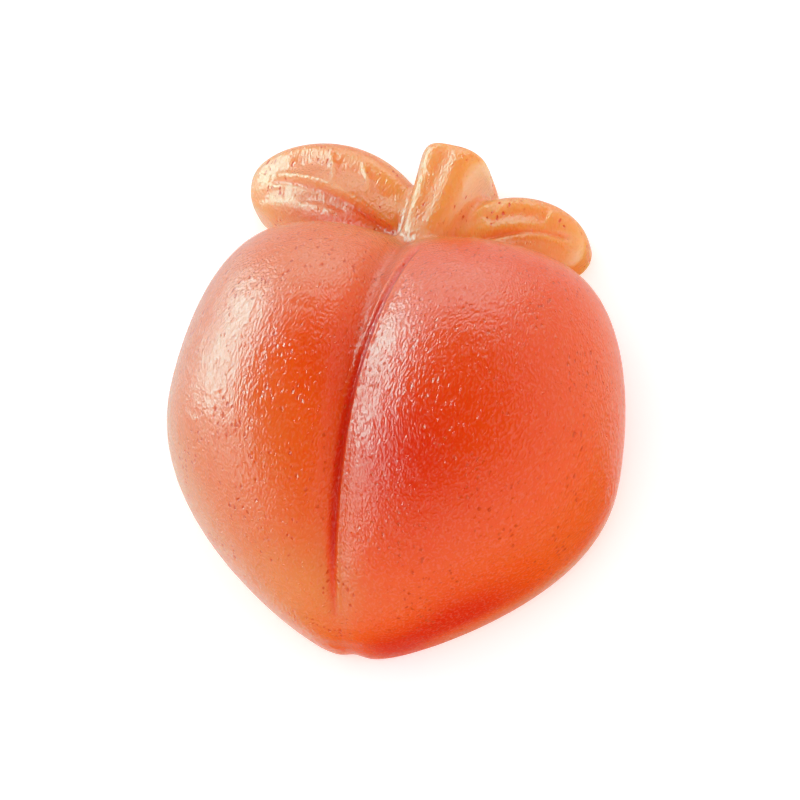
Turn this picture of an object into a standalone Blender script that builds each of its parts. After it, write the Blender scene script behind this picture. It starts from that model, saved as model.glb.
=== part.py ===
"""A moulded fruit gummy in the form of a peach, lying on its flat back.

The gummy is one casting: a body of two lobes that meet in a crease, a stem stub, and a leaf on each
side of it. Each of those masses is a loft, a row of cross-sections joined one to the next. A voxel
remesh casts them into one skin, smoothing rounds every corner as gelatine does, and the crease, the
leaves' midribs and blades and the stem's sunken face are then pressed into that skin.

Metres, +Z up. +Y runs from the peach's tip to its stem, +X towards its right lobe. The origin is the
middle of the bounding box's underside, on the plane that the gummy rests on.
"""

import math

import bmesh
import bpy
import numpy as np
from mathutils import Vector

MM = 0.001

# Body. Its two lobes meet above the crease line, which leans a little off the Y axis. A lobe reaches
# out from that line to the side, and its taper is how much slimmer it gets towards the tip. At the stem
# end, fullness shapes its plan and rise its height: the lower the value, the blunter that end.
LOBES = {
    "left": {"side": -1, "reach": 12.2 * MM, "crown": 12.9 * MM, "taper": 0.31},
    "right": {"side": 1, "reach": 13.65 * MM, "crown": 12.9 * MM, "taper": 0.35},
}
BODY_LENGTH = 24.1 * MM
WIDEST_HEIGHT = 3.1 * MM
LOBE_OVERLAP = 4.4 * MM
CREASE_AT = -0.6 * MM
CREASE_LEAN = -0.051
TIP_GATHER = 0.83
TIP_GATHER_POWER = 2.3
STEM_END_FULLNESS = 0.55
STEM_END_RISE = 0.87

# Every mass runs on below the resting plane, where the flat back is then cut.
LOBE_DROP = 8.0 * MM
STEM_AND_LEAF_DROP = 6.0 * MM

# Leaves: where each one's spine starts, bends and ends in plan, its half width and its heights. The
# other values are shares. Skew is how near its tip a leaf is broadest, and the lower its bluntness, the
# blunter its ends. The last two are where up its height a leaf is widest and how square its section is.
LEAVES = {
    "left": {
        "start": (-0.8 * MM, 10.4 * MM),
        "bend": (-5.0 * MM, 16.8 * MM),
        "end": (-12.6 * MM, 15.2 * MM),
        "half_width": 3.1 * MM,
        "height_at_stem": 6.2 * MM,
        "height_at_tip": 4.4 * MM,
        "skew": 1.15,
        "bluntness": 0.36,
    },
    "right": {
        "start": (-0.2 * MM, 10.4 * MM),
        "bend": (4.2 * MM, 15.2 * MM),
        "end": (8.05 * MM, 13.6 * MM),
        "half_width": 2.6 * MM,
        "height_at_stem": 5.8 * MM,
        "height_at_tip": 3.8 * MM,
        "skew": 0.9,
        "bluntness": 0.45,
    },
}
LEAF_WIDEST_HEIGHT = 0.35
LEAF_SQUARENESS = 0.75

# Stem stub, widening to its cut end, whose last stretch is rounded down to a small end face.
STEM_FOOT = (-1.0 * MM, 8.2 * MM)
STEM_END = (0.3 * MM, 18.05 * MM)
STEM_FOOT_HALF_WIDTH = 1.1 * MM
STEM_END_HALF_WIDTH = 2.25 * MM
STEM_HEIGHT = 6.6 * MM
STEM_WIDENING = 1.4
STEM_SQUARENESS = 0.66
STEM_ROUND_END = 0.1
STEM_END_FACE = 0.14

# Relief pressed into the top: each stroke follows a plan curve and fades out across its half width.
STROKES = {
    "crease": {
        "path": ((-1.2 * MM, 10.6 * MM), (-0.8 * MM, 0.0), (-0.2 * MM, -11.6 * MM)),
        "depth": 0.5 * MM,
        "half_width": 0.65 * MM,
    },
    "left midrib": {
        "path": ((-11.6 * MM, 14.2 * MM), (-7.0 * MM, 15.0 * MM), (-2.6 * MM, 11.6 * MM)),
        "depth": 0.45 * MM,
        "half_width": 0.45 * MM,
    },
    "left blade": {
        "path": ((-10.8 * MM, 15.8 * MM), (-6.0 * MM, 17.0 * MM), (-2.8 * MM, 14.0 * MM)),
        "depth": 0.3 * MM,
        "half_width": 0.8 * MM,
    },
    "right midrib": {
        "path": ((8.0 * MM, 12.9 * MM), (5.0 * MM, 13.9 * MM), (1.4 * MM, 11.9 * MM)),
        "depth": 0.4 * MM,
        "half_width": 0.4 * MM,
    },
    "right blade": {
        "path": ((6.8 * MM, 14.0 * MM), (4.4 * MM, 15.0 * MM), (1.8 * MM, 13.3 * MM)),
        "depth": 0.25 * MM,
        "half_width": 0.6 * MM,
    },
    "stem face": {
        "path": ((-0.6 * MM, 12.6 * MM), (-0.3 * MM, 15.0 * MM), (-0.1 * MM, 16.8 * MM)),
        "depth": 0.35 * MM,
        "half_width": 0.8 * MM,
    },
}
SPINE_POINTS = 40

# Mesh
RING_POINTS = 48
LOBE_STATIONS = 40
LEAF_STATIONS = 28
STEM_STATIONS = 16
VOXEL = 0.2 * MM
ROUNDING_STEPS = 12
FINISHING_STEPS = 4
TRIANGLES = 7600
UNDERSIDE_SPARE = 0.6 * MM


def clear_scene():
    for old in list(bpy.data.objects):
        bpy.data.objects.remove(old)


def squared(value, power):
    """A cosine or sine drawn out towards a square section: power 1 leaves a plain ellipse."""
    return math.copysign(abs(value) ** power, value)


def section(centre, across, half_width, rise, drop, power=1.0):
    """A closed cross-section that stands upright on the line `across`, as a list of points."""
    up = Vector((0, 0, 1))
    points = []
    for k in range(RING_POINTS):
        angle = 2 * math.pi * k / RING_POINTS
        side, height = squared(math.cos(angle), power), squared(math.sin(angle), power)
        reach = rise if height > 0 else drop
        points.append(centre + across * half_width * side + up * reach * height)
    return points


def loft(mesh, sections):
    """Adds one closed mass to a bmesh: walls between neighbouring sections and a cap at each end."""
    rings = [[mesh.verts.new(point) for point in ring] for ring in sections]
    for near, far in zip(rings, rings[1:]):
        for k in range(RING_POINTS):
            after = (k + 1) % RING_POINTS
            mesh.faces.new((near[k], near[after], far[after], far[k]))
    mesh.faces.new(reversed(rings[0]))
    mesh.faces.new(rings[-1])


def crease_x(y):
    """Where the crease lies in plan at a given distance from the tip's side to the stem's."""
    return CREASE_AT + CREASE_LEAN * y


def lobe(mesh, side, reach, crown, taper):
    """One half of the peach, egg-shaped, its thin end drawn in to the tip that both lobes share."""
    half_width = (reach + LOBE_OVERLAP) / 2
    rise = crown - WIDEST_HEIGHT
    sections = []
    for i in range(1, LOBE_STATIONS):
        angle = math.pi * i / LOBE_STATIONS
        along = -math.cos(angle)
        towards_tip = max(0.0, -along)
        fullness = STEM_END_FULLNESS if along > 0 else 1
        size = math.sin(angle) ** fullness * (1 - taper * towards_tip**2)
        gather = 1 - TIP_GATHER * towards_tip**TIP_GATHER_POWER
        y = along * BODY_LENGTH / 2
        x = crease_x(y) + side * (reach - half_width) * gather
        centre = Vector((x, y, WIDEST_HEIGHT))
        drop = LOBE_DROP * math.sqrt(size)
        arch = math.sin(angle) ** STEM_END_RISE if along > 0 else size
        sections.append(section(centre, Vector((1, 0, 0)), half_width * size, rise * arch, drop))
    loft(mesh, sections)


def bezier(start, bend, end, t):
    """A point of the plan curve that leaves start towards bend and reaches end."""
    u = 1 - t
    return Vector([u * u * a + 2 * u * t * b + t * t * c for a, b, c in zip(start, bend, end)])


def bezier_heading(start, bend, end, t):
    u = 1 - t
    return Vector([u * (b - a) + t * (c - b) for a, b, c in zip(start, bend, end)]).normalized()


def leaf(mesh, plan):
    """A pillow along the leaf's spine with rounded ends, its stations closer together towards them."""
    sections = []
    for i in range(1, LEAF_STATIONS):
        t = (1 - math.cos(math.pi * i / LEAF_STATIONS)) / 2
        spot = bezier(plan["start"], plan["bend"], plan["end"], t)
        heading = bezier_heading(plan["start"], plan["bend"], plan["end"], t)
        swell = math.sin(math.pi * t ** plan["skew"]) ** plan["bluntness"]
        height = plan["height_at_stem"] + (plan["height_at_tip"] - plan["height_at_stem"]) * t
        widest = height * LEAF_WIDEST_HEIGHT
        sections.append(
            section(
                centre=Vector((spot.x, spot.y, widest)),
                across=Vector((-heading.y, heading.x, 0)),
                half_width=plan["half_width"] * swell,
                rise=(height - widest) * swell,
                drop=STEM_AND_LEAF_DROP,
                power=LEAF_SQUARENESS,
            )
        )
    loft(mesh, sections)


def stem(mesh):
    """The stub, a loft along its own axis that widens to a rounded cut end."""
    foot, end = Vector((*STEM_FOOT, 0)), Vector((*STEM_END, 0))
    axis = (end - foot).normalized()
    sections = []
    for i in range(STEM_STATIONS + 1):
        t = i / STEM_STATIONS
        widening = (STEM_END_HALF_WIDTH - STEM_FOOT_HALF_WIDTH) * t**STEM_WIDENING
        into_end = max(0.0, (t - 1 + STEM_ROUND_END) / STEM_ROUND_END)
        closing = math.sqrt(max(STEM_END_FACE**2, 1 - into_end**2))
        sections.append(
            section(
                centre=foot.lerp(end, t) + Vector((0, 0, STEM_HEIGHT / 2)),
                across=Vector((axis.y, -axis.x, 0)),
                half_width=(STEM_FOOT_HALF_WIDTH + widening) * closing,
                rise=STEM_HEIGHT / 2 * closing,
                drop=STEM_AND_LEAF_DROP,
                power=STEM_SQUARENESS,
            )
        )
    loft(mesh, sections)


def masses():
    """The lobes, leaves and stem as separate overlapping masses in one mesh."""
    mesh = bmesh.new()
    for plan in LOBES.values():
        lobe(mesh, **plan)
    for plan in LEAVES.values():
        leaf(mesh, plan)
    stem(mesh)
    bmesh.ops.recalc_face_normals(mesh, faces=mesh.faces)
    data = bpy.data.meshes.new("gummy")
    mesh.to_mesh(data)
    mesh.free()
    return data


def apply_modifiers(thing):
    """Replaces an object's mesh by the one that its modifiers make of it."""
    graph = bpy.context.evaluated_depsgraph_get()
    made = bpy.data.meshes.new_from_object(thing.evaluated_get(graph))
    thing.modifiers.clear()
    thing.data = made


def cast(thing):
    """Fuses the masses into one skin."""
    remesh = thing.modifiers.new("Cast", "REMESH")
    remesh.mode = "VOXEL"
    remesh.voxel_size = VOXEL
    apply_modifiers(thing)


def soften(thing, steps):
    """Rounds the skin's corners, more with more steps."""
    rounding = thing.modifiers.new("Soften", "SMOOTH")
    rounding.factor = 0.5
    rounding.iterations = steps
    apply_modifiers(thing)


def press(thing):
    """Presses every stroke into the parts of the skin that face up."""
    skin = thing.data.vertices
    corners = np.array([vertex.co for vertex in skin])
    facing_up = np.clip([vertex.normal.z for vertex in skin], 0, 1)
    for stroke in STROKES.values():
        gap = np.full(len(corners), np.inf)
        for i in range(SPINE_POINTS + 1):
            spot = np.array(bezier(*stroke["path"], i / SPINE_POINTS))
            gap = np.minimum(gap, np.linalg.norm(corners[:, :2] - spot, axis=1))
        corners[:, 2] -= stroke["depth"] * facing_up * np.exp(-((gap / stroke["half_width"]) ** 2))
    skin.foreach_set("co", corners.ravel())


def thin_out(thing):
    """Keeps the triangles where the form bends and spends few on its smooth domes."""
    now = sum(len(face.vertices) - 2 for face in thing.data.polygons)
    decimate = thing.modifiers.new("Thin out", "DECIMATE")
    decimate.ratio = TRIANGLES / now
    apply_modifiers(thing)


def cut_off_below(thing, height, closed):
    """Removes what lies below a level and, where asked, closes the cut with one flat face."""
    mesh = bmesh.new()
    mesh.from_mesh(thing.data)
    everything = mesh.verts[:] + mesh.edges[:] + mesh.faces[:]
    bmesh.ops.bisect_plane(
        mesh, geom=everything, plane_co=(0, 0, height), plane_no=(0, 0, 1), clear_inner=True
    )
    if closed:
        rim = [edge for edge in mesh.edges if edge.is_boundary]
        bmesh.ops.contextual_create(mesh, geom=rim)
        bmesh.ops.recalc_face_normals(mesh, faces=mesh.faces)
    mesh.to_mesh(thing.data)
    mesh.free()


def centre_on_origin(thing):
    """Moves the mesh so that its bounding box stands on the origin."""
    corners = np.array([vertex.co for vertex in thing.data.vertices])
    middle = (corners.min(axis=0) + corners.max(axis=0)) / 2
    for vertex in thing.data.vertices:
        vertex.co.x -= middle[0]
        vertex.co.y -= middle[1]


def gelatine():
    material = bpy.data.materials.new("peach_gelatine")
    material.use_nodes = True
    shader = material.node_tree.nodes["Principled BSDF"]
    shader.inputs["Base Color"].default_value = (0.80, 0.16, 0.05, 1)
    shader.inputs["Roughness"].default_value = 0.35
    shader.inputs["Metallic"].default_value = 0.0
    return material


def main():
    clear_scene()
    gummy = bpy.data.objects.new("gummy", masses())
    bpy.context.scene.collection.objects.link(gummy)
    cast(gummy)
    soften(gummy, ROUNDING_STEPS)
    press(gummy)
    soften(gummy, FINISHING_STEPS)
    cut_off_below(gummy, -UNDERSIDE_SPARE, closed=False)
    thin_out(gummy)
    cut_off_below(gummy, 0, closed=True)
    centre_on_origin(gummy)
    gummy.data.shade_smooth()
    gummy.data.set_sharp_from_angle(angle=math.radians(50))
    gummy.data.materials.append(gelatine())


main()
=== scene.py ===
# %% [markdown]
# A fruit gummy in the form of a peach: gelatine and sugar, coloured orange, poured warm into a mould and
# left to set. It is one soft piece. What makes it look like a gummy is not its outline but how light
# behaves in it: the thick fruit glows deep orange, the thin leaves glow yellow, and a waxy skin full of
# tiny wrinkles and pits lays a pale, milky shine on top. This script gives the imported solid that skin
# and that colour, and then lights it like a product picture.

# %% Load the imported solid
import math

import bmesh
import bpy
import numpy as np
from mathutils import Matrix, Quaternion, Vector
from mathutils.bvhtree import BVHTree


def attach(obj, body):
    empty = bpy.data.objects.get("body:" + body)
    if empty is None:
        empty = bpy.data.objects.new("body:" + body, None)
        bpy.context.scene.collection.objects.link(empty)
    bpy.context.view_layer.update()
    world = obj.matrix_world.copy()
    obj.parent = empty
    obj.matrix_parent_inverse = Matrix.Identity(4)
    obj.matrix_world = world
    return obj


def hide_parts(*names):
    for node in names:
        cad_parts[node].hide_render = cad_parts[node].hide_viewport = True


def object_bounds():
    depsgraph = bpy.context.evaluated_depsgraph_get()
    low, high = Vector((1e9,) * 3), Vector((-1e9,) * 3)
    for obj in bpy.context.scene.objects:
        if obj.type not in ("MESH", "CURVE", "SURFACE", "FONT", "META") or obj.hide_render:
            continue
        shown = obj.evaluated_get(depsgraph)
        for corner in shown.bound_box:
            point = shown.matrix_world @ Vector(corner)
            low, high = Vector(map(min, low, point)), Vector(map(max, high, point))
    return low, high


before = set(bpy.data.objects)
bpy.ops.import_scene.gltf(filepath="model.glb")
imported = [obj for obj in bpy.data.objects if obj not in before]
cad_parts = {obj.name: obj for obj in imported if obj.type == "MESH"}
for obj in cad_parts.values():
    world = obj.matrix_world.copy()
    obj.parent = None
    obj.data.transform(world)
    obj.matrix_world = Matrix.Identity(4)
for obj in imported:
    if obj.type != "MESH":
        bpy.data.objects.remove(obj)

MM = 0.001
cad_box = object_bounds()
low, high = Vector(cad_box[0]), Vector(cad_box[1])
print("The gummy measures", [round(side / MM, 1) for side in high - low], "mm")


# %% [markdown]
# ## The skin
# The solid's mesh is made of loose triangles, about a millimetre across. A real gummy is smooth all
# over, and its mould has left marks finer than that. So a copy of the solid is merged, and a voxel
# remesh covers it with even little squares, which a smoothing pass then relaxes. A subdivision surface
# would also smooth it, but it would keep the uneven triangles, and they would show in the shine.

# %% Select one object by itself
def only(thing):
    """Leaves just this object selected and active, which is what an operator then works on."""
    bpy.ops.object.select_all(action="DESELECT")
    thing.select_set(True)
    bpy.context.view_layer.objects.active = thing


def count_triangles(thing):
    return sum(len(face.vertices) - 2 for face in thing.data.polygons)


# %% Copy the solid and merge its corners
SAME_SPOT = 0.001 * MM

only(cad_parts["gummy"])
bpy.ops.object.duplicate()
gummy = bpy.context.object
gummy.name = "gummy_casting"
gummy.data.name = "gummy_casting"
bpy.ops.object.mode_set(mode="EDIT")
bpy.ops.mesh.select_all(action="SELECT")
bpy.ops.mesh.remove_doubles(threshold=SAME_SPOT)
bpy.ops.object.mode_set(mode="OBJECT")
bpy.ops.object.shade_smooth()
print("Merged copy:", len(gummy.data.vertices), "corners")


# %% Add a modifier and apply it
def shaped_by(thing, kind, **settings):
    """Adds one modifier with the given settings and makes its result part of the mesh."""
    only(thing)
    bpy.ops.object.modifier_add(type=kind)
    modifier = thing.modifiers[-1]
    for name, value in settings.items():
        setattr(modifier, name, value)
    bpy.ops.object.modifier_apply(modifier=modifier.name)


# %% Cover the copy with an even skin
SKIN_SQUARE = 0.115 * MM
RELAXING = 18

shaped_by(gummy, "REMESH", mode="VOXEL", voxel_size=SKIN_SQUARE, use_smooth_shade=True)
shaped_by(gummy, "SMOOTH", factor=0.5, iterations=RELAXING)
print("Skin:", count_triangles(gummy), "triangles")

# %% Make one face of the flat back
STRAIGHT_DOWN = -0.999

only(gummy)
bpy.ops.object.mode_set(mode="EDIT")
bpy.ops.mesh.select_mode(type="FACE")
bpy.ops.mesh.select_all(action="DESELECT")
skin = bmesh.from_edit_mesh(gummy.data)
for face in skin.faces:
    at_the_bottom = face.calc_center_median().z < low.z + SKIN_SQUARE
    face.select = face.normal.z < STRAIGHT_DOWN and at_the_bottom
bmesh.update_edit_mesh(gummy.data)
bpy.ops.mesh.dissolve_faces()
bpy.ops.object.mode_set(mode="OBJECT")
print("With a plain back:", count_triangles(gummy), "triangles")


# %% [markdown]
# ## What the mould pressed in
# A mould leaves soft lines: the peach's crease with a thin lip on each side, and on each leaf a rib, a
# sunken upper blade and side veins. Each is a stroke that follows a plan curve. The script measures how
# far every corner of the skin lies from the curve, seen from above, and sinks or lifts it by a smooth
# profile. Sculpting by hand would do it too, but a stroke with named sizes can be read and changed.

# %% Measure the skin from above
def plan_curve(start, bend, end, count=60):
    """Points of a smooth curve in plan that leaves start towards bend and reaches end."""
    t = np.linspace(0, 1, count)[:, None]
    start, bend, end = (np.array(point) * MM for point in (start, bend, end))
    return (1 - t) ** 2 * start + 2 * t * (1 - t) * bend + t**2 * end


def corners_of(thing):
    """All corners and their normals, one row each."""
    count = len(thing.data.vertices)
    places, normals = np.empty(count * 3), np.empty(count * 3)
    thing.data.vertices.foreach_get("co", places)
    thing.data.vertices.foreach_get("normal", normals)
    return places.reshape(-1, 3), normals.reshape(-1, 3)


def beside(places, curve):
    """How far each corner lies from the curve in plan, negative on its left, and how far along it."""
    gap = np.full(len(places), np.inf)
    along = np.zeros(len(places))
    side = np.ones(len(places))
    for i in range(len(curve) - 1):
        step = curve[i + 1] - curve[i]
        offset = places[:, :2] - curve[i]
        t = np.clip(offset @ step / (step @ step), 0, 1)
        away = offset - t[:, None] * step
        distance = np.hypot(away[:, 0], away[:, 1])
        nearer = distance < gap
        gap[nearer] = distance[nearer]
        along[nearer] = (i + t[nearer]) / (len(curve) - 1)
        turn = step[0] * away[nearer, 1] - step[1] * away[nearer, 0]
        side[nearer] = np.where(turn > 0, -1, 1)
    return gap * side, along


# %% Smooth profiles
def hump(distance, half_width):
    """A smooth bump, 1 on the line and close to 0 beyond twice the half width."""
    return np.exp(-((distance / half_width) ** 2))


def eased(value, start, end):
    """0 before start, 1 after end, and a smooth step between them."""
    t = np.clip((value - start) / (end - start), 0, 1)
    return t * t * (3 - 2 * t)


# %% Press one stroke
UPWARD_GAIN = 1.6


def press(thing, curve, depth, half_width, ends=0.12, offset=0.0):
    """Sinks the skin that faces up along a curve, or lifts it where depth is negative."""
    places, normals = corners_of(thing)
    distance, along = beside(places, curve)
    fade = np.clip(along / ends, 0, 1) * np.clip((1 - along) / ends, 0, 1)
    facing_up = np.clip(normals[:, 2] * UPWARD_GAIN, 0, 1)
    change = depth * MM * hump(distance - offset * MM, half_width * MM)
    places[:, 2] -= change * eased(fade, 0, 1) * facing_up
    thing.data.vertices.foreach_set("co", places.ravel())
    thing.data.update()


# %% The crease, with a lip on each side
crease = plan_curve((0.6, 6.4), (-0.85, -3.0), (-0.25, -15.0))
press(gummy, crease, depth=0.24, half_width=0.2, ends=0.05)
press(gummy, crease, depth=-0.1, half_width=0.12, ends=0.06, offset=-0.36)
press(gummy, crease, depth=-0.05, half_width=0.12, ends=0.06, offset=0.36)
print("Crease pressed along", len(crease), "points")

# %% The left leaf: a rib, a sunken upper blade and a fold below the rib
left_rib = plan_curve((-11.4, 12.0), (-6.9, 11.7), (-2.2, 8.6))
left_blade = plan_curve((-10.2, 13.3), (-6.2, 13.6), (-2.6, 10.6))
left_fold = plan_curve((-9.6, 10.7), (-7.0, 10.9), (-5.0, 9.6))
press(gummy, left_blade, depth=0.22, half_width=0.75)
press(gummy, left_rib, depth=0.24, half_width=0.2)
press(gummy, left_rib, depth=-0.1, half_width=0.18, offset=-0.42)
press(gummy, left_fold, depth=0.2, half_width=0.36, ends=0.3)
print("Left leaf pressed with 4 strokes")

# %% The right leaf: a rib and a sunken upper blade
right_rib = plan_curve((7.4, 10.9), (4.9, 10.8), (2.2, 8.9))
right_blade = plan_curve((6.0, 11.6), (4.4, 11.9), (2.6, 10.2))
press(gummy, right_blade, depth=0.2, half_width=0.6)
press(gummy, right_rib, depth=0.2, half_width=0.2)
press(gummy, right_rib, depth=-0.08, half_width=0.18, offset=-0.4)
print("Right leaf pressed with 3 strokes")

# %% Side veins stand up a little on both leaves
VEINS = {
    "left outer": ((-7.7, 14.0), (-7.0, 12.9), (-6.7, 11.7)),
    "left inner": ((-5.5, 13.4), (-4.7, 12.2), (-4.3, 10.9)),
    "right inner": ((2.5, 11.7), (2.0, 10.9), (1.6, 10.0)),
    "right outer": ((3.5, 11.7), (3.1, 11.2), (2.9, 10.5)),
}
for path in VEINS.values():
    press(gummy, plan_curve(*path), depth=-0.13, half_width=0.17, ends=0.3)
print("Veins:", ", ".join(VEINS))

# %% Thin the skin where it is smooth
SHARE_KEPT = 0.62

shaped_by(gummy, "DECIMATE", ratio=SHARE_KEPT)
print("Thinned skin:", count_triangles(gummy), "triangles")

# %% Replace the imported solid's look
gummy.data.materials.clear()
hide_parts("gummy")
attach(gummy, "root")


# %% [markdown]
# ## How thick the gelatine is
# Dyed gelatine is like dyed water: the more of it light crosses, the deeper and redder it gets. So the
# colour has to know how thick the gummy is at each spot. From every corner a few rays are sent into the
# solid, and where they come out tells the thickness. Painting the thin parts by hand would be a guess,
# while this follows the form.

# %% Measure the thickness at every corner
RAY_SPREAD = 0.5
RAY_ANGLES = (0.5, 2.6, 4.7)
UNDER_THE_SKIN = 0.02 * MM


def thickness_of(thing):
    """Mean way through the solid along a few inward directions at each corner, in millimetres."""
    graph = bpy.context.evaluated_depsgraph_get()
    tree = BVHTree.FromObject(thing, graph)
    places, normals = corners_of(thing)
    leanings = [Vector((0, 0, 0))]
    for angle in RAY_ANGLES:
        leanings.append(Vector((math.cos(angle), math.sin(angle), 0)) * RAY_SPREAD)
    thickness = np.zeros(len(places))
    for i, (place, normal) in enumerate(zip(places, normals)):
        inwards = -Vector(normal)
        for leaning in leanings:
            ray = (inwards + leaning).normalized()
            hit = tree.ray_cast(Vector(place) + inwards * UNDER_THE_SKIN, ray)
            thickness[i] += (hit[3] or 0.0) / MM / len(leanings)
    return thickness


thickness = thickness_of(gummy)
print("Thickness from", round(thickness.min(), 2), "to", round(thickness.max(), 2), "mm")


# %% [markdown]
# ## How strong the dye looks, and the light and shade painted into it
# The thickness gives the dye's strength almost everywhere: 0 is the palest, thinnest gelatine and 1 the
# reddest. On the real sweet the dye isn't quite even, and there are cloudy spots of it. Light and shade
# are painted into the same strength as well. Paler sloping walls are painted sheen, and a deeper right
# lobe is painted shade on the side away from the light. A paler lower front edge is painted glow, a red
# line in the crease and a red band low on the front are painted shade, and some clouds are painted
# light and shade. All are added as soft clouds and strokes, and the result is kept as an attribute of
# the mesh that the material reads.

# %% Dye by thickness, with painted sheen, shade and glow
THINNEST_DYE, BODY_DYE, CORE_DYE = 0.14, 0.38, 0.1
# Sloping walls are made paler as painted sheen, more so on the stem and leaves.
WALL_PAINTED_SHEEN, STEM_WALL_PAINTED_SHEEN = 0.09, 0.11
# The right lobe is made deeper as painted shade on the side away from the light.
RIGHT_LOBE_PAINTED_SHADE = 0.17
# The lower front right edge is made paler as painted glow of light through the thin edge.
LOWER_EDGE_PAINTED_GLOW = 0.16


def dye_and_painted_light_by_form(spots, normals, thickness):
    """Dye strength from the thickness, plus painted sheen on sloping walls, painted shade on the right
    lobe and painted glow on the lower front edge; spots are in millimetres.
    """
    right, forward, down = spots[:, 0], -spots[:, 1], -spots[:, 2]
    dye_and_painted_light = THINNEST_DYE + BODY_DYE * eased(thickness, 2.0, 7.5) + CORE_DYE * eased(thickness, 7.5, 12.5)
    # Painted sheen: the sloping walls are made paler.
    painted_sheen_on_walls = eased(-normals[:, 2], -0.8, -0.2)
    dye_and_painted_light -= painted_sheen_on_walls * (WALL_PAINTED_SHEEN + STEM_WALL_PAINTED_SHEEN * eased(spots[:, 1], 7.0, 9.0))
    # Painted shade: the right lobe is made deeper than the lit left one.
    dye_and_painted_light += RIGHT_LOBE_PAINTED_SHADE * eased(right, -5.0, 3.0) * eased(forward, -9.0, -6.0)
    # Painted glow: the lower front right edge is made paler.
    front_right = eased(right, 2.5, 6.0) * eased(forward, 0.0, 4.0)
    dye_and_painted_light -= LOWER_EDGE_PAINTED_GLOW * eased(down, -2.8, -1.4) * front_right
    return dye_and_painted_light


# %% Cloudy spots of dye, painted shade and painted light
# Centre in millimetres, reach in millimetres, and how much stronger or weaker the dye is there. The
# clouds are partly uneven dye and partly painted light and shade. The stronger ones in the joins of
# leaves and lobes and in the left leaf's fold are painted shade. The weaker ones low on the front, on
# the left of the left lobe, on the stem and on the leaves are painted light.
DYE_AND_LIGHT_CLOUDS = [
    ((3.3, -7.3, 11.5), 3.6, 0.2),
    ((-2.2, -2.0, 12.0), 3.4, 0.16),
    ((6.8, -2.5, 12.4), 4.0, 0.06),
    ((-1.6, -13.2, 6.6), 2.8, -0.2),
    ((2.4, -12.6, 5.5), 2.2, -0.06),
    ((-7.8, 10.3, 4.6), 1.8, 0.16),
    ((2.4, 12.9, 4.2), 1.3, -0.12),
    ((-5.5, 11.8, 5.0), 3.0, -0.08),
    ((0.4, 11.5, 5.0), 4.0, -0.34),
    ((7.9, 10.6, 2.0), 2.2, -0.12),
    ((-12.0, 11.6, 2.5), 2.0, -0.1),
    ((-5.1, 9.2, 4.9), 1.7, 0.42),
    ((-2.4, 9.0, 4.8), 1.3, 0.2),
    ((4.2, 9.0, 4.4), 1.3, 0.22),
    ((-9.5, -6.5, 5.0), 4.5, -0.12),
]


def dye_and_light_in_clouds(spots):
    """How much all the clouds together change the dye strength, with their painted light and shade."""
    change_here = np.zeros(len(spots))
    for centre, reach, change in DYE_AND_LIGHT_CLOUDS:
        change_here += change * hump(np.linalg.norm(spots - centre, axis=1), reach)
    return change_here


# %% Painted shade: the red line in the crease and the red band low on the front
# Both strokes deepen the colour as painted shade: inside the crease, and low on the front beside the
# shaded floor.
CREASE_PAINTED_SHADE, CREASE_REACH = 0.4, 0.26 * MM
BAND_PAINTED_SHADE, BAND_REACH = 0.34, 1.8 * MM
BAND_MIDDLE, BAND_RISE, BAND_HALF_HEIGHT = 2.2, 1.2, 2.2
BAND = plan_curve((0.6, -15.4), (6.0, -14.0), (11.4, -8.6))


def painted_shade_in_lines(places, spots):
    """How much painted shade the crease line and the low front band add to the dye strength."""
    from_crease, along = beside(places, crease)
    line = hump(from_crease, CREASE_REACH) * eased(along, -0.2, 0.5) * eased(-along, -1.0, -0.85)
    from_band, along = beside(places, BAND)
    middle = BAND_MIDDLE + BAND_RISE * eased(spots[:, 0], 2.5, 6.0)
    ends = eased(-along, -1.0, -0.5) * eased(along, -0.1, 0.2)
    band = ends * hump(from_band, BAND_REACH) * hump(spots[:, 2] - middle, BAND_HALF_HEIGHT)
    return CREASE_PAINTED_SHADE * line + BAND_PAINTED_SHADE * band


# %% Keep the dye's strength, with its painted light and shade, on the mesh
def keep_attribute(thing, name, values):
    attribute = thing.data.attributes.new(name, "FLOAT", "POINT")
    attribute.data.foreach_set("value", values.astype(np.float32))


places, normals = corners_of(gummy)
spots = places / MM
strength = dye_and_painted_light_by_form(spots, normals, thickness) + dye_and_light_in_clouds(spots) + painted_shade_in_lines(places, spots)
strength = np.clip(strength, 0, 1)
# The attribute holds the dye together with its painted light and shade.
keep_attribute(gummy, "dye_and_painted_light", strength)
print("Dye from", round(strength.min(), 2), "to", round(strength.max(), 2))


# %% [markdown]
# ## Node helpers
# A material is a graph of nodes. These few helpers add a node with its settings, wire it up, and
# build sums and mixes, so that the cells after them read like a recipe.

# %% Add and wire a node
def wire(tree, value, socket):
    """Links a socket to another, or sets it to a constant."""
    if isinstance(value, bpy.types.NodeSocket):
        tree.links.new(value, socket)
    else:
        socket.default_value = value


def node(tree, kind, **settings):
    """Adds a node. A setting named after one of its inputs sets or wires that input."""
    made = tree.nodes.new(kind)
    for name, value in settings.items():
        if hasattr(made, name) and name not in made.inputs:
            setattr(made, name, value)
        else:
            wire(tree, value, made.inputs[name])
    return made


# %% Sums, steps and blends
def math_node(tree, operation, *values, clamp=False):
    made = node(tree, "ShaderNodeMath", operation=operation, use_clamp=clamp)
    for value, socket in zip(values, made.inputs):
        wire(tree, value, socket)
    return made.outputs[0]


def between(tree, value, start, end):
    """0 below start, 1 above end, and a smooth step from one to the other."""
    made = node(tree, "ShaderNodeMapRange", interpolation_type="SMOOTHSTEP")
    wire(tree, value, made.inputs["Value"])
    wire(tree, start, made.inputs["From Min"])
    wire(tree, end, made.inputs["From Max"])
    return made.outputs["Result"]


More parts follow.
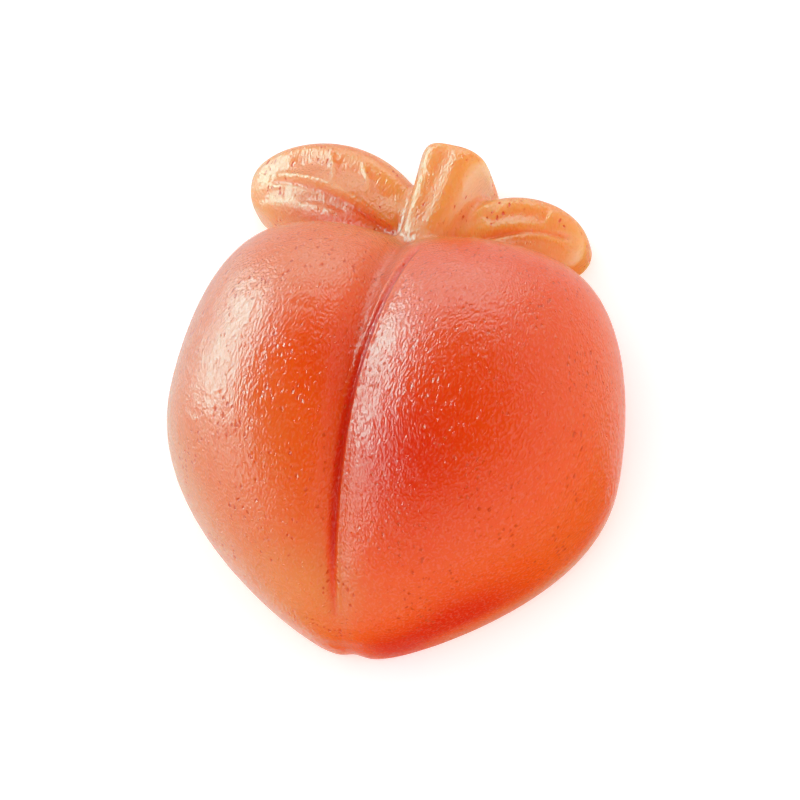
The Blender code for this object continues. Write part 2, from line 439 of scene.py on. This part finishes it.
def mixed(tree, share, first, second):
    """A blend of two colours."""
    made = node(tree, "ShaderNodeMix", data_type="RGBA")
    wire(tree, share, made.inputs["Factor"])
    wire(tree, first, made.inputs["A"])
    wire(tree, second, made.inputs["B"])
    return made.outputs["Result"]


def colour(red, green, blue):
    """A screen colour from 0 to 255 as the linear colour that a shader takes."""
    def linear(value):
        value /= 255
        return value / 12.92 if value <= 0.04045 else ((value + 0.055) / 1.055) ** 2.4

    return (linear(red), linear(green), linear(blue), 1.0)


# %% Noise, and coordinates that are stretched or nudged
def noise(tree, vector, scale, detail, output="Fac"):
    """Soft random values; the scale is in waves for each metre."""
    made = node(tree, "ShaderNodeTexNoise", Vector=vector, Scale=scale, Detail=detail)
    return made.outputs[output]


def stretched(tree, vector, scale=(1, 1, 1), turn=(0, 0, 0), shift=(0, 0, 0)):
    """Coordinates scaled a different amount along each axis, then turned and shifted."""
    made = node(tree, "ShaderNodeMapping", Vector=vector, Scale=scale, Rotation=turn, Location=shift)
    return made.outputs["Vector"]


def nudged(tree, vector, push, reach):
    """Coordinates pushed about by the colour of a noise, by up to the reach."""
    made = node(tree, "ShaderNodeVectorMath", operation="MULTIPLY_ADD")
    wire(tree, push, made.inputs[0])
    wire(tree, (reach, reach, reach), made.inputs[1])
    wire(tree, vector, made.inputs[2])
    return made.outputs[0]


# %% [markdown]
# ## The material
# Light enters gelatine, scatters inside and comes out somewhere else, red light furthest. That is
# subsurface scattering. Real transparency would need many samples for a little gain, because a
# peach gummy is cloudy: nothing is seen through it. On top lies a thin waxy film: a rough shine, and a
# sheen that pales the rims.

# %% The material and its shader
gelatine = bpy.data.materials.new("peach_gelatine_skin")
gelatine.use_nodes = True
tree = gelatine.node_tree
shader = tree.nodes["Principled BSDF"]
shader.inputs["Roughness"].default_value = 0.24
shader.inputs["IOR"].default_value = 1.5
shader.inputs["Subsurface Weight"].default_value = 1.0
shader.inputs["Subsurface Radius"].default_value = (1.0, 0.3, 0.12)
shader.inputs["Subsurface Scale"].default_value = 6.0 * MM
shader.inputs["Sheen Weight"].default_value = 0.07
shader.inputs["Sheen Roughness"].default_value = 0.22
shader.inputs["Sheen Tint"].default_value = colour(255, 214, 196)
gummy.data.materials.append(gelatine)

# %% Colour by the strength of the dye and of the painted light and shade
# The pale low end also colours the painted sheen and glow, and the deep high end the painted shade.
DYE_AND_LIGHT_COLOURS = {
    0.0: (246, 198, 156),
    0.14: (240, 162, 86),
    0.5: (228, 125, 54),
    0.74: (234, 90, 14),
    1.0: (222, 52, 8),
}

dye_and_painted_light = node(tree, "ShaderNodeAttribute", attribute_name="dye_and_painted_light").outputs["Fac"]
ramp = node(tree, "ShaderNodeValToRGB", Fac=dye_and_painted_light)
steps = ramp.color_ramp.elements
for spot, stop in enumerate(DYE_AND_LIGHT_COLOURS):
    if spot < 2:
        steps[spot].position = stop
    else:
        steps.new(stop)
    steps[spot].color = colour(*DYE_AND_LIGHT_COLOURS[stop])
tint = ramp.outputs["Color"]
print("Dye colours:", len(steps))


# %% [markdown]
# ## Wrinkles, pits and grains
# As a gummy dries, its skin shrinks into fine wrinkles. Air bubbles leave small pits in it, and sugar
# leaves grains. They are a few hundredths of a millimetre high, far too fine for the mesh, so they are
# bump. The wrinkles are a noise stretched along the gummy and bent by a slower noise. Pits and grains
# are little cones in some cells of a Voronoi pattern, and the pits gather in loose clusters.

# %% Wrinkles
WRINKLE_SCALE, SWELL_SCALE, SWIRL_SCALE = 8200.0, 1500.0, 260.0
SWIRL_REACH = 0.8 * MM
LENGTHWAYS = (1.0, 0.55, 1.0)
LEAN = (0, 0, math.radians(-12))

place = node(tree, "ShaderNodeTexCoord").outputs["Object"]
lengthways = stretched(tree, place, scale=LENGTHWAYS, turn=LEAN)
swirl = noise(tree, place, SWIRL_SCALE, 2.0, "Color")
wrinkles = noise(tree, nudged(tree, lengthways, swirl, SWIRL_REACH), WRINKLE_SCALE, 0.5)
swell = noise(tree, place, SWELL_SCALE, 1.0)


# %% Small cones in some cells of a pattern
def scattered(tree, vector, scale, share, size, seed):
    """Small cones, one in some of the cells: 1 at the tip of a cone and 0 outside."""
    moved = stretched(tree, vector, shift=(seed, seed * 0.7, seed * 1.3))
    cells = node(tree, "ShaderNodeTexVoronoi", Vector=moved, Scale=scale, Randomness=1.0)
    chosen = node(tree, "ShaderNodeSeparateColor", Color=cells.outputs["Color"]).outputs["Red"]
    slope = math_node(tree, "DIVIDE", cells.outputs["Distance"], size)
    cone = math_node(tree, "SUBTRACT", 1.0, slope, clamp=True)
    picked = math_node(tree, "LESS_THAN", chosen, share)
    return math_node(tree, "MULTIPLY", cone, picked)


# %% Pits in clusters, and grains
CLUSTER_SCALE, RAGGED_SCALE = 420.0, 3000.0
RAGGED_REACH = 0.25 * MM

clusters = between(tree, noise(tree, place, CLUSTER_SCALE, 1.0), 0.42, 0.62)
ragged = nudged(tree, lengthways, noise(tree, place, RAGGED_SCALE, 2.0, "Color"), RAGGED_REACH)
pits = math_node(tree, "MULTIPLY", scattered(tree, ragged, 3600.0, 0.36, 0.4, seed=0.2), clusters)
grains = scattered(tree, ragged, 4400.0, 0.4, 0.3, seed=0.6)

# %% All of them as bump, in millimetres
HEIGHTS = ((wrinkles, 0.05), (swell, 0.06), (pits, -0.07), (grains, 0.065))

height = 0.0
for pattern, tallest in HEIGHTS:
    height = math_node(tree, "MULTIPLY_ADD", pattern, tallest, height)
bump = node(tree, "ShaderNodeBump", Strength=1.0, Distance=MM, Height=height)
wire(tree, bump.outputs["Normal"], shader.inputs["Normal"])

# %% Painted highlight on the wrinkle ridges and painted shade in the pits
# Paler wrinkle ridges: partly a thicker waxy film, partly a painted highlight.
FILM_AND_HIGHLIGHT, RIDGE_FILM_AND_HIGHLIGHT = colour(255, 206, 176), 0.06
# Pits are coloured darker red as painted shade in the hollows.
PIT_SHADE_RED, PIT_SHADE_SHARE = colour(212, 74, 6), 0.85

# Partly waxy film, partly painted highlight on the ridges.
ridges = math_node(tree, "MULTIPLY", between(tree, wrinkles, 0.5, 0.68), RIDGE_FILM_AND_HIGHLIGHT)
tint = mixed(tree, ridges, tint, FILM_AND_HIGHLIGHT)
# Painted shade: the pits are mixed towards a darker red.
pit_shade = math_node(tree, "MULTIPLY", between(tree, pits, 0.05, 0.45), PIT_SHADE_SHARE)
tint = mixed(tree, pit_shade, tint, PIT_SHADE_RED)
wire(tree, tint, shader.inputs["Base Color"])
print("Material nodes:", len(tree.nodes))


# %% [markdown]
# ## Floor and camera
# The gummy lies on a white sheet, which is left out of its reflections. The camera looks down on it
# over the tip, a little from the right, with a long lens that keeps the form free of distortion.

# %% The floor
bpy.ops.object.select_all(action="DESELECT")
bpy.ops.mesh.primitive_plane_add(size=1.6, location=(0, 0, low.z))
floor = bpy.context.object
floor.name = "floor"
paper = bpy.data.materials.new("white_paper")
paper.use_nodes = True
sheet = paper.node_tree.nodes["Principled BSDF"]
sheet.inputs["Base Color"].default_value = (0.93, 0.93, 0.93, 1)
sheet.inputs["Roughness"].default_value = 0.9
sheet.inputs["Emission Color"].default_value = (1, 1, 1, 1)
sheet.inputs["Emission Strength"].default_value = 0.35
floor.data.materials.append(paper)
floor.visible_glossy = False

# %% The camera
AZIMUTH, ELEVATION, ROLL = math.radians(36), math.radians(62), math.radians(-25.4)
CAMERA_DISTANCE = 185 * MM
AIM = Vector((0.29, -1.25, 4.73)) * MM


def direction(azimuth, elevation):
    """The way from the gummy towards a compass point and height; azimuth 0 is towards -Y."""
    flat = math.cos(elevation)
    return Vector((math.sin(azimuth) * flat, -math.cos(azimuth) * flat, math.sin(elevation)))


back = direction(AZIMUTH, ELEVATION)
turn = back.to_track_quat("Z", "Y") @ Quaternion((0, 0, 1), ROLL)
bpy.ops.object.camera_add(location=AIM + back * CAMERA_DISTANCE, rotation=turn.to_euler())
camera = bpy.context.object
camera.data.lens = 150
camera.data.sensor_width = 36
camera.data.clip_start = 0.01
bpy.context.scene.camera = camera
print("Camera at", [round(value / MM, 1) for value in camera.location], "mm")


# %% [markdown]
# ## Light
# Three soft panels are seen only in the shine, and a wide one overhead only lights. That way the milky
# highlights can be placed without changing how the gelatine glows. The shine panels are blue-green,
# because the orange under a highlight already brings the red. The room is white at eye level, dark
# overhead and low in front, and brighter low on the left, where its reflection pales the gummy's rim.

# %% Soft panels
COOL = (0.18, 0.86, 0.83)
PANEL_DISTANCE = 0.35


def panel(name, azimuth, elevation, width, height, radiance, shine):
    """An oblong area light; width and height are the angles that it fills as the gummy sees it."""
    towards = direction(math.radians(azimuth), math.radians(elevation))
    bpy.ops.object.light_add(type="AREA", location=towards * PANEL_DISTANCE)
    light = bpy.context.object
    light.name = name
    light.rotation_euler = towards.to_track_quat("Z", "Y").to_euler()
    light.data.shape = "RECTANGLE"
    light.data.size = 2 * PANEL_DISTANCE * math.tan(math.radians(width / 2))
    light.data.size_y = 2 * PANEL_DISTANCE * math.tan(math.radians(height / 2))
    light.data.energy = radiance * math.pi * light.data.size * light.data.size_y
    light.data.color = COOL if shine else (1, 1, 1)
    light.visible_diffuse = not shine
    light.visible_glossy = shine


panel("left_shine", azimuth=-110, elevation=23, width=52, height=46, radiance=12, shine=True)
panel("back_shine", azimuth=-174, elevation=22, width=48, height=40, radiance=3.1, shine=True)
panel("front_shine", azimuth=-65, elevation=25, width=40, height=46, radiance=4, shine=True)
panel("ceiling_panel", azimuth=0, elevation=90, width=110, height=110, radiance=0.9, shine=False)

# %% The room around it
WHITE = (1, 1, 1, 1)
BRIGHT = (0.9, 1.7, 1.8, 1)
SHADE = (0.02, 0.02, 0.02, 1)

world = bpy.data.worlds.new("white_room")
world.use_nodes = True
room = world.node_tree
way = node(room, "ShaderNodeTexCoord").outputs["Generated"]
parts = node(room, "ShaderNodeSeparateXYZ", Vector=way).outputs
forwards = node(room, "ShaderNodeVectorMath", operation="DOT_PRODUCT")
wire(room, way, forwards.inputs[0])
wire(room, tuple(direction(AZIMUTH, 0)), forwards.inputs[1])
leftwards = math_node(room, "MULTIPLY", parts["X"], -1.0)

# %% Dark overhead and low in front, bright low on the left
overhead = between(room, parts["Z"], 0.4, 0.75)
far_below = between(room, parts["Z"], -0.34, -0.62)
in_front = between(room, forwards.outputs["Value"], -0.2, 0.1)
dark = math_node(room, "MAXIMUM", overhead, math_node(room, "MULTIPLY", far_below, in_front))
just_below = between(room, parts["Z"], 0.0, -0.15)
low_left = math_node(room, "MULTIPLY", between(room, leftwards, 0.3, 0.8), just_below)
room_light = mixed(room, dark, mixed(room, low_left, WHITE, BRIGHT), SHADE)
background = room.nodes["Background"]
wire(room, room_light, background.inputs["Color"])
background.inputs["Strength"].default_value = 0.9
bpy.context.scene.world = world
bpy.context.scene.view_settings.view_transform = "Standard"
print("Room nodes:", len(room.nodes))
